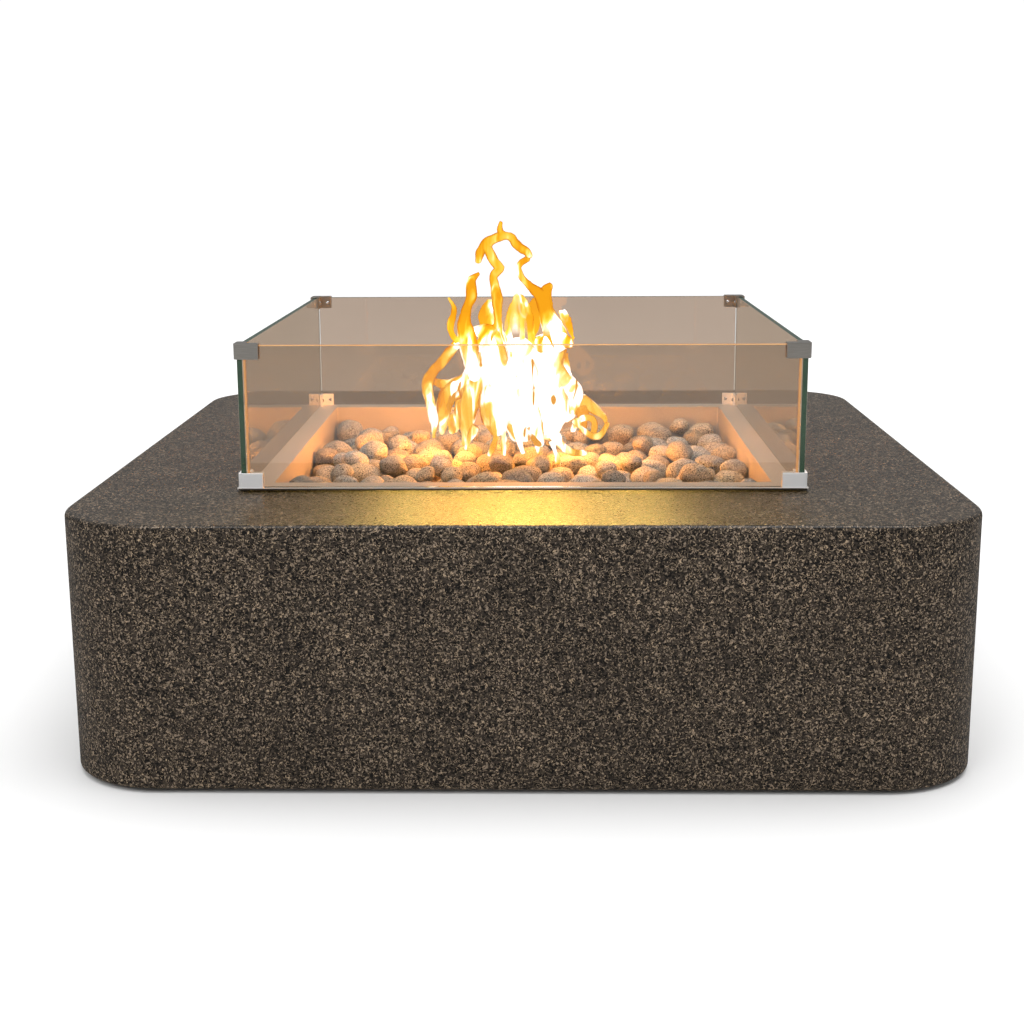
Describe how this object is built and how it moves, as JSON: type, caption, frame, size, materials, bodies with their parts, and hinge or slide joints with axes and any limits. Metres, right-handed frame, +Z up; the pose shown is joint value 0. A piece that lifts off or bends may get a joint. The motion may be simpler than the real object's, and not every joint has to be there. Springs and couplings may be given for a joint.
{
  "type": "gas fire pit",
  "caption": "Square cast-stone gas fire pit table with a drop-in steel burner pan, lava stones, hidden gas controls and a lift-off glass wind guard.",
  "frame": {"origin": "middle of the whole footprint (shell, vents, door pull), on the surface it stands on; the middle of the square shell lies at y = -0.01665", "axes": "+Z up; -Y is the plain front, +Y is the back with the gas controls and the access door, +X is the right side seen from the front"},
  "size_m": [0.9332, 0.9474, 0.4235],
  "materials": {
    "cast_stone": "speckled granite-look cast stone, satin",
    "stainless": "satin stainless sheet",
    "clip_steel": "satin stainless clips",
    "glass": "clear tempered glass with green edges",
    "lava": "pitted tumbled lava rock",
    "burner_steel": "heat-stained stainless tube",
    "galvanised": "galvanised sheet",
    "zinc_steel": "zinc-plated steel",
    "iron": "black malleable iron",
    "brass": "machined brass",
    "valve_alloy": "die-cast alloy",
    "ceramic": "glazed insulator",
    "copper": "bare copper",
    "yellow_hose": "coated corrugated gas line",
    "wire": "silicone ignition wire",
    "black_plastic": "satin black",
    "black_metal": "fine-texture black powder coat",
    "chrome": "polished"
  },
  "bodies": {
    "table": {"enclosure_shell": "cast_stone", "corner_plates": "zinc_steel", "foot_lock_nuts": "zinc_steel", "burner_pan": "stainless", "heat_shield": "galvanised", "h_burner": "burner_steel", "burner_supports": "burner_steel", "pan_lock_nut": "zinc_steel", "burner_elbow": "iron", "air_mixer": "zinc_steel", "gas_orifice": "brass", "pilot_bracket": "stainless", "pilot_hood": "stainless", "spark_electrode": "ceramic", "thermocouple": "copper", "supply_line": "copper", "burner_line": "yellow_hose", "pilot_line": "copper", "ignition_wire": "wire", "thermocouple_lead": "copper", "gravel_bed": "lava", "lava_stones": "lava", "control_panel": "stainless", "fixing_screws": "chrome", "gas_valve": "valve_alloy", "knob_bezel": "chrome", "igniter_body": "black_plastic", "bulkhead_nuts": "zinc_steel", "inlet_fitting": "brass", "door_frame": "black_metal", "door_magnets": "iron", "hinge_frame_leaves": "zinc_steel", "hinge_pins": "zinc_steel", "vent_grille_left": "black_metal", "vent_grille_right": "black_metal"},
    "wind_guard": {"glass_left": "glass", "glass_right": "glass", "glass_front": "glass", "glass_back": "glass", "clip_screws": "chrome", "bottom_clip_back_right": "clip_steel", "bottom_clip_front_right": "clip_steel", "bottom_clip_back_left": "clip_steel", "bottom_clip_front_left": "clip_steel", "top_clip_back_right": "clip_steel", "top_clip_front_right": "clip_steel", "top_clip_back_left": "clip_steel", "top_clip_front_left": "clip_steel"},
    "valve_stem": {"valve_plunger": "brass"},
    "knob": {"valve_spindle": "zinc_steel", "control_knob": "black_plastic"},
    "igniter": {"igniter_button": "chrome"},
    "shutter": {"air_shutter": "zinc_steel"},
    "door": {"access_door": "black_metal", "door_pull": "chrome", "hinge_door_leaves": "zinc_steel"},
    "foot_fl": {"levelling_foot_fl": "zinc_steel"},
    "foot_fr": {"levelling_foot_fr": "zinc_steel"},
    "foot_bl": {"levelling_foot_bl": "zinc_steel"},
    "foot_br": {"levelling_foot_br": "zinc_steel"}
  },
  "joints": [
    {"name": "guard_lift", "type": "slide", "parent": "table", "child": "wind_guard", "axis": [0, 0, 1], "range_m": [0, 0.25]},
    {"name": "knob_press", "type": "slide", "parent": "table", "child": "valve_stem", "axis": [0, -1, 0], "range_m": [0, 0.0035], "stiffness_N_per_m": 600, "springref_m": -0.002},
    {"name": "knob_turn", "type": "hinge", "parent": "valve_stem", "child": "knob", "pos_m": [-0.235, 0.45335, 0.132], "axis": [0, 1, 0], "range_deg": [0, 210]},
    {"name": "igniter_press", "type": "slide", "parent": "table", "child": "igniter", "axis": [0, -1, 0], "range_m": [0, 0.006], "stiffness_N_per_m": 500, "springref_m": -0.002},
    {"name": "shutter_turn", "type": "hinge", "parent": "table", "child": "shutter", "pos_m": [0, 0.07235, 0.132], "axis": [0, 1, 0], "range_deg": [0, 45]},
    {"name": "door_swing", "type": "hinge", "parent": "table", "child": "door", "pos_m": [0.332, 0.44835, 0.128], "axis": [0, 0, -1], "range_deg": [0, 110]},
    {"name": "foot_fl_level", "type": "slide", "parent": "table", "child": "foot_fl", "axis": [0, 0, 1], "range_m": [-0.01, 0]},
    {"name": "foot_fr_level", "type": "slide", "parent": "table", "child": "foot_fr", "axis": [0, 0, 1], "range_m": [-0.01, 0]},
    {"name": "foot_bl_level", "type": "slide", "parent": "table", "child": "foot_bl", "axis": [0, 0, 1], "range_m": [-0.01, 0]},
    {"name": "foot_br_level", "type": "slide", "parent": "table", "child": "foot_br", "axis": [0, 0, 1], "range_m": [-0.01, 0]}
  ]
}
